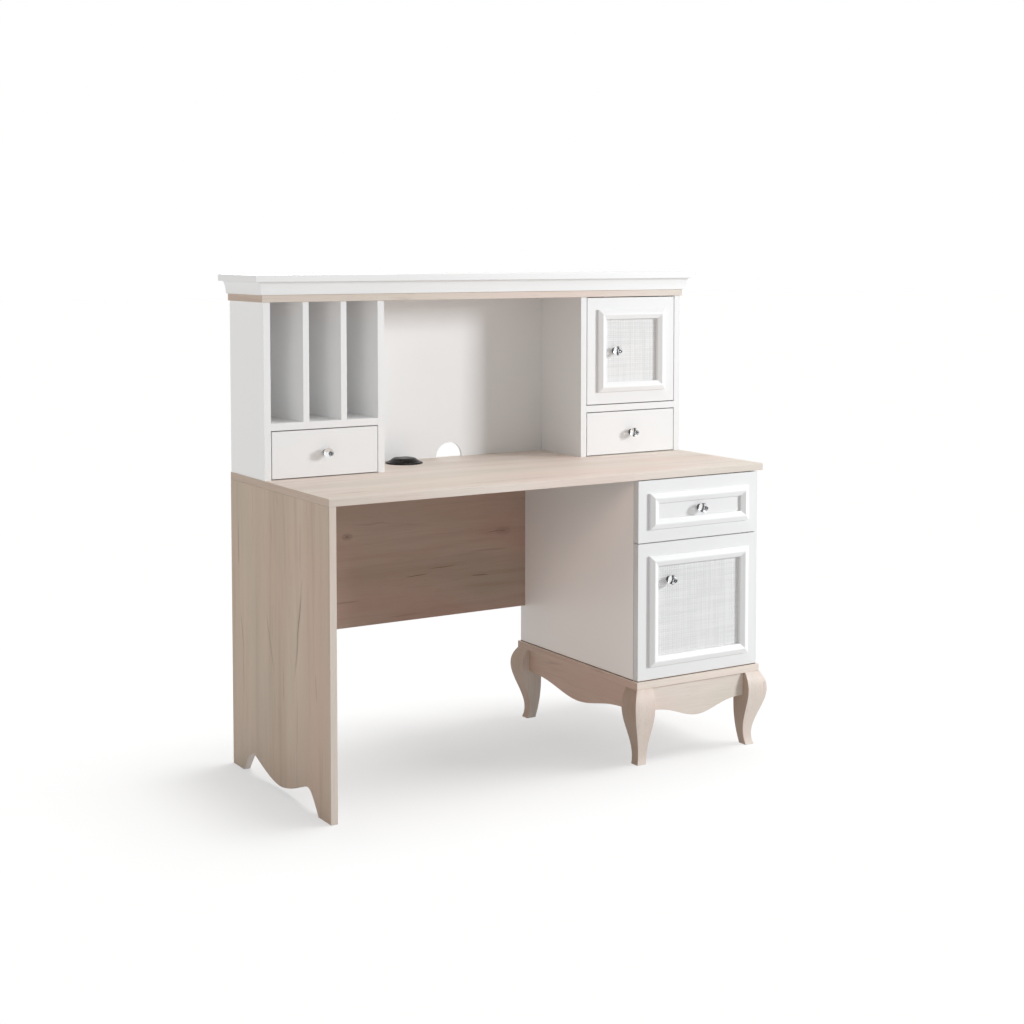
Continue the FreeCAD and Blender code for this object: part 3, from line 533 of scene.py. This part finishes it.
# Knobs, in millimetres. Profiles are distances from the face that the knob stands on, and radii.
KNOB_REACH = 31.0
KNOB_FOOT = ((0.0, 8.0), (0.9, 8.0), (1.7, 7.5), (2.3, 6.3), (2.9, 4.8), (4.0, 3.6), (5.4, 3.1), (6.8, 3.3),
             (8.2, 4.2), (9.4, 5.6), (10.3, 6.8), (10.9, 7.2))
KNOB_CAP = ((29.25, 5.6), (30.1, 5.6), (30.7, 5.0), (31.0, 3.8), (30.9, 2.8), (30.5, 2.0), (30.4, 0.6))
# The screw's head, from the back of the board that it holds, and its shank
SCREW_HEAD = ((2.5, 3.0), (2.2, 3.6), (1.4, 4.0), (0.0, 4.0))
SCREW_RADIUS = 2.0
BALL_RADIUS = 12.5
BALL_BACK = 11.0
BALL_FRONT = 29.25
BALL_ROWS = 18
# Thickness of the board behind each knob: a drawer's front or a door's insert
DRAWER_FRONT = 18.0
DOOR_INSERT = 8.0
BOARD_BEHIND = {
    "left_drawer_knob": DRAWER_FRONT,
    "right_drawer_knob": DRAWER_FRONT,
    "pedestal_drawer_knob": DRAWER_FRONT,
    "hutch_door_knob": DOOR_INSERT,
    "pedestal_door_knob": DOOR_INSERT,
}


def dress_knob(node):
    """A turned metal foot with its screw, a clear ball and a metal cap on its tip."""
    low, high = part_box(node)
    centre = Vector(((low.x + high.x) / 2, low.y + KNOB_REACH * MM, (low.z + high.z) / 2))
    board = BOARD_BEHIND[node]
    screw = tuple((-board - distance, radius) for distance, radius in SCREW_HEAD)
    screw += ((-board, SCREW_RADIUS), (0.0, SCREW_RADIUS))
    bm = bmesh.new()
    seat = lathe(bm, centre, screw + KNOB_FOOT)[-1]
    seat.material_index = 1
    lathe(bm, centre, KNOB_CAP)
    bmesh.ops.recalc_face_normals(bm, faces=bm.faces)
    metals = (FINISHES["chrome"], FINISHES["silver"])
    add_piece(node + "_metal", bm, BODY_OF[node], metals, node)

    bm = bmesh.new()
    middle = KNOB_REACH - BALL_RADIUS
    first, last = (math.acos((middle - distance) / BALL_RADIUS) for distance in (BALL_BACK, BALL_FRONT))
    turns = [first + (last - first) * row / BALL_ROWS for row in range(BALL_ROWS + 1)]
    ball = [(middle - BALL_RADIUS * math.cos(turn), BALL_RADIUS * math.sin(turn)) for turn in turns]
    lathe(bm, centre, ball)
    bmesh.ops.recalc_face_normals(bm, faces=bm.faces)
    add_piece(node + "_crystal", bm, BODY_OF[node], (FINISHES["crystal"],), node)


# Woven cane, in millimetres
STRAND_PITCH = 5.8
STRAND_WIDTHS = (4.1, 4.8)
STRAND_THICKNESS = 0.5
STRAND_OFFSET = 0.2
# A strand's section, in shares of its half width and its thickness
STRAND_SECTION = ((-1.0, -0.5), (-0.72, 0.35), (0.0, 0.5), (0.72, 0.35), (1.0, -0.5))
# How far a strand drifts sideways, and through what angle its drift turns over its length, in radians
STRAND_DRIFT = 0.18
DRIFT_TURN = 9.0
WEAVE_SWING = 0.3
WEAVE_DEPTH = 0.7
BACKING_DEPTH = 1.3
STEPS_PER_CROSSING = 4
CANE_SMOOTH_UNDER = 60
CANE_SEEDS = {"hutch_door_cane": 11, "pedestal_door_cane": 12}


def weave(bm, low, high, rng):
    """Strands both ways over the panel's front, each over one and under the next."""
    middle_y = low.y + WEAVE_DEPTH * MM
    counts = {axis: round((high[axis] - low[axis]) / (STRAND_PITCH * MM)) for axis in (X, Z)}
    for run, side, lift in ((Z, X, 0), (X, Z, 1)):
        pitch = (high[side] - low[side]) / counts[side]
        steps = counts[run] * STEPS_PER_CROSSING
        for strand in range(counts[side]):
            half = rng.uniform(*STRAND_WIDTHS) / 2 * MM
            centre = low[side] + (strand + 0.5) * pitch + rng.uniform(-STRAND_OFFSET, STRAND_OFFSET) * MM
            half = min(half, centre - low[side], high[side] - centre)
            phase = rng.uniform(0, math.tau)
            rings = []
            for step in range(steps + 1):
                share = step / steps
                wave = math.cos(math.pi * (share * counts[run] - 0.5 + strand + lift))
                depth = middle_y - wave * WEAVE_SWING * MM
                drift = math.sin(phase + share * DRIFT_TURN) * STRAND_DRIFT * MM
                ring = []
                for across, rise in STRAND_SECTION:
                    point = [0.0, depth - rise * STRAND_THICKNESS * MM, 0.0]
                    point[run] = low[run] + share * (high[run] - low[run])
                    point[side] = min(max(centre + drift + across * half, low[side]), high[side])
                    ring.append(point)
                rings.append(ring)
            sweep(bm, rings, False)


def dress_cane(node):
    """The insert's board, set back, with woven cane in front of it."""
    low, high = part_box(node)
    corners = ((low.x, low.z), (high.x, low.z), (high.x, high.z), (low.x, high.z))
    bm = bmesh.new()
    solid_sweep(bm, [[(x, y, z) for x, z in corners] for y in (low.y + BACKING_DEPTH * MM, high.y)])
    weave(bm, low, high, random.Random(CANE_SEEDS[node]))
    bmesh.ops.recalc_face_normals(bm, faces=bm.faces)
    add_piece(node + "_weave", bm, BODY_OF[node], (FINISHES["cane"],), node, CANE_SMOOTH_UNDER)


# Painted shadow at the foot of the pedestal's box: a dark strip where the box meets the base plate. In
# millimetres: how far it stands out from the sides, its depth in front, its height
STRIP_PROUD = 0.7
STRIP_DEPTH = 5.0
STRIP_HEIGHT = 2.1


def dress_pedestal_foot():
    """A thin dark strip between the pedestal's box and the base plate: painted shadow in the joint."""
    low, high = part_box("pedestal_left_side")[0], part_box("pedestal_right_side")[1]
    face_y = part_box("pedestal_door_frame")[0].y
    levels = (low.z, low.z + STRIP_HEIGHT * MM)
    proud = STRIP_PROUD * MM
    spans = (
        ((low.x - proud, low.y), (low.x + proud, high.y)),
        ((high.x - proud, low.y), (high.x + proud, high.y)),
        ((low.x + proud, face_y + proud), (high.x - proud, face_y + STRIP_DEPTH * MM)),
    )
    bm = bmesh.new()
    for (x0, y0), (x1, y1) in spans:
        outline = ((x0, y0), (x1, y0), (x1, y1), (x0, y1))
        solid_sweep(bm, [[(x, y, z) for x, y in outline] for z in levels])
    bmesh.ops.recalc_face_normals(bm, faces=bm.faces)
    add_piece("pedestal_foot_shadow_strip", bm, BODY_OF["base_plate"], (WOODS["dark"],))


for node in sorted(frame["nodes"]):
    if node in BOARD_BEHIND:
        dress_knob(node)
    elif node in CANE_SEEDS:
        dress_cane(node)
    else:
        dress_node(node)
dress_pedestal_foot()


# Studio

# The camera: its place in metres, its angle below level and its turn in degrees, its lens and sensor in
# millimetres, and its shift upwards in widths of the picture
CAMERA_PLACE = (-2.3102, -3.7632, 1.3075)
CAMERA_DIP = 3.5507
CAMERA_TURN = -31.7963
CAMERA_LENS = 60.4287
CAMERA_SENSOR = 36
CAMERA_SHIFT = -0.15
# Strength and colour of the world's light. The eye sees the world as white.
AMBIENT = 0.33
AMBIENT_COLOUR = (1.03, 1.0, 0.95, 1.0)
WHITE = (1.0, 1.0, 1.0, 1.0)
# Half the floor's width in metres, its grey for bounced light and for the eye, and the share of it that
# the eye sees as white
FLOOR_REACH = 40.0
FLOOR_BOUNCE = 0.25
FLOOR_COLOUR = 0.4
FLOOR_WHITE = 0.43


def add_camera():
    camera = bpy.data.cameras.new("camera")
    camera.lens, camera.sensor_width, camera.shift_y = CAMERA_LENS, CAMERA_SENSOR, CAMERA_SHIFT
    holder = bpy.data.objects.new("camera", camera)
    holder.location = CAMERA_PLACE
    holder.rotation_euler = (math.radians(90 - CAMERA_DIP), 0, math.radians(CAMERA_TURN))
    bpy.context.scene.collection.objects.link(holder)
    bpy.context.scene.camera = holder


def seen_directly(tree):
    """1 for the rays of the camera and of mirrors and glass, and 0 for the rest."""
    path = tree.nodes.new("ShaderNodeLightPath")
    seen = path.outputs["Is Camera Ray"]
    for name in ("Is Glossy Ray", "Is Transmission Ray"):
        larger = tree.nodes.new("ShaderNodeMath")
        larger.operation = "MAXIMUM"
        tree.links.new(seen, larger.inputs[0])
        tree.links.new(path.outputs[name], larger.inputs[1])
        seen = larger.outputs[0]
    return seen


def either(tree, factor, low, high):
    """low where the factor is 0, and high where it is 1."""
    made = tree.nodes.new("ShaderNodeMapRange")
    tree.links.new(factor, made.inputs["Value"])
    made.inputs["To Min"].default_value = low
    made.inputs["To Max"].default_value = high
    return made.outputs["Result"]


def add_world():
    world = bpy.data.worlds.new("studio")
    world.use_nodes = True
    tree = world.node_tree
    background = tree.nodes["Background"]
    seen = seen_directly(tree)
    colour = tree.nodes.new("ShaderNodeMix")
    colour.data_type = "RGBA"
    tree.links.new(seen, colour.inputs[MIX_FACTOR])
    colour.inputs[MIX_FIRST].default_value = AMBIENT_COLOUR
    colour.inputs[MIX_SECOND].default_value = WHITE
    tree.links.new(colour.outputs[MIX_RESULT], background.inputs["Color"])
    tree.links.new(either(tree, seen, AMBIENT, 1.0), background.inputs["Strength"])
    bpy.context.scene.world = world


def floor_paper():
    """White paper that keeps the object's shadow: part of what the eye sees of it glows."""
    material = bpy.data.materials.new("floor")
    material.use_nodes = True
    tree = material.node_tree
    tree.nodes.clear()
    paper = tree.nodes.new("ShaderNodeBsdfDiffuse")
    glow = tree.nodes.new("ShaderNodeEmission")
    blend = tree.nodes.new("ShaderNodeMixShader")
    output = tree.nodes.new("ShaderNodeOutputMaterial")
    seen = seen_directly(tree)
    tree.links.new(either(tree, seen, FLOOR_BOUNCE, FLOOR_COLOUR), paper.inputs["Color"])
    tree.links.new(either(tree, seen, 0.0, FLOOR_WHITE), blend.inputs[0])
    tree.links.new(paper.outputs[0], blend.inputs[1])
    tree.links.new(glow.outputs[0], blend.inputs[2])
    tree.links.new(blend.outputs[0], output.inputs["Surface"])
    return material


def add_floor():
    mesh = bpy.data.meshes.new("floor")
    corners = [(x * FLOOR_REACH, y * FLOOR_REACH, 0) for x, y in ((-1, -1), (1, -1), (1, 1), (-1, 1))]
    mesh.from_pydata(corners, [], [(0, 1, 2, 3)])
    mesh.materials.append(floor_paper())
    floor = bpy.data.objects.new("floor", mesh)
    bpy.context.scene.collection.objects.link(floor)
    return floor


# Lamps. A softbox lights all but the floor or, where it names lit nodes, those alone. Where casters are
# named, they alone cast the lamp's shadow. Places and sizes are in metres, powers in watts, a sun's angle
# in degrees.
Softbox = namedtuple("Softbox", "name place target width height power colour lit casters",
                     defaults=((1.0, 1.0, 1.0), None, None))
Sun = namedtuple("Sun", "name place angle strength casters")
MOULDINGS = ("pedestal_drawer_moulding", "pedestal_door_moulding", "hutch_door_moulding", "crown_front")
HUTCH_LEFT = ("hutch_left_side", "crown_left", "crown_front", "hutch_cap")
KNEE_SPACE = ("pedestal_left_side", "apron_left", "base_plate")
SLOT_WALLS = ("slot_dividers", "hutch_left_partition")
LEFT_TOWER = SLOT_WALLS + ("left_tower_shelf", "hutch_left_side", "left_drawer_front")
MOVING = ("left_drawer_front", "right_drawer_front", "pedestal_drawer_front", "pedestal_drawer_box",
          "left_drawer_box", "right_drawer_box", "hutch_door_frame", "pedestal_door_frame")
PEDESTAL = ("base_plate", "apron_front", "apron_rear", "apron_left", "apron_right", "pedestal_left_side",
            "pedestal_right_side", "pedestal_door_frame") + LEGS
SOFTBOXES = (
    Softbox("key", (5.06, -4.24, 2.45), (0, 0.15, 0.8), 1.3, 1.6, 284.0, colour=(0.975, 1.0, 1.03)),
    Softbox("top", (0.4, -0.2, 4.4), (0, 0, 0.6), 3.0, 3.0, 66.0),
    Softbox("rear", (1.1, 5.5, 1.8), (0, 0.3, 0.7), 2.5, 2.5, 100.0),
    Softbox("low", (3.8, -2.4, 0.1), (0.2, -0.2, 0.6), 2.2, 0.16, 20.0, lit=MOULDINGS),
    Softbox("left", (-4.2, 0.5, 1.6), (-0.6, 0.1, 0.8), 1.6, 1.6, 32.0, lit=HUTCH_LEFT),
    Softbox("knee", (-3.5, -2.2, 1.9), (0.2, 0, 0.4), 1.2, 1.2, 36.0, (1.0, 0.76, 0.63), KNEE_SPACE),
    Softbox("slots", (-3.7, -2.9, 1.6), (-0.45, 0.1, 1.0), 1.0, 1.0, 10.0, lit=LEFT_TOWER),
    Softbox("walls", (-4.2, 0.3, 1.3), (-0.4, 0.15, 1.0), 1.2, 1.2, 12.0, lit=SLOT_WALLS,
            casters=("desk_top",)),
)
FLOOR_SUNS = (
    Sun("floor_desk", (0.776, 0, 2.9), 40, 3.14, ("desk_top", "left_side_panel") + MOVING),
    Sun("floor_panel", (0.776, 0, 2.9), 18, 1.81, ("left_side_panel",)),
    Sun("floor_base", (1.94, -0.52, 2.23), 30, 2.78, PEDESTAL),
)


def pieces_of(nodes):
    return [bpy.data.objects[node + "_eased"] for node in nodes]


def collect(name, objects):
    group = bpy.data.collections.new(name)
    for obj in objects:
        group.objects.link(obj)
    return group


def link_light(lamp, objects, state):
    """Keep a lamp's light off some objects, or on those objects alone."""
    group = collect(lamp.name + "_light", objects)
    lamp.light_linking.receiver_collection = group
    for member in group.collection_objects:
        member.light_linking.link_state = state


def link_shadow(lamp, casters):
    """Take a lamp's shadow from some nodes alone."""
    lamp.light_linking.blocker_collection = collect(lamp.name + "_shadow", pieces_of(casters))


def add_lamp(name, kind, place, target, power):
    lamp = bpy.data.lights.new(name, kind)
    lamp.energy = power
    holder = bpy.data.objects.new(name, lamp)
    holder.location = place
    holder.rotation_euler = (Vector(target) - Vector(place)).to_track_quat("-Z", "Y").to_euler()
    bpy.context.scene.collection.objects.link(holder)
    return holder


def add_softbox(box, floor):
    holder = add_lamp(box.name, "AREA", box.place, box.target, box.power)
    holder.visible_camera = False
    lamp = holder.data
    lamp.shape, lamp.size, lamp.size_y, lamp.color = "RECTANGLE", box.width, box.height, box.colour
    if box.lit:
        link_light(holder, pieces_of(box.lit), "INCLUDE")
    else:
        link_light(holder, [floor], "EXCLUDE")
    if box.casters:
        link_shadow(holder, box.casters)


def add_floor_sun(sun, floor):
    holder = add_lamp(sun.name, "SUN", sun.place, (0, 0, 0), sun.strength)
    holder.data.angle = math.radians(sun.angle)
    link_light(holder, [floor], "INCLUDE")
    link_shadow(holder, sun.casters)


add_camera()
add_world()
floor = add_floor()
for softbox in SOFTBOXES:
    add_softbox(softbox, floor)
for sun in FLOOR_SUNS:
    add_floor_sun(sun, floor)
bpy.context.scene.view_settings.view_transform = "Standard"
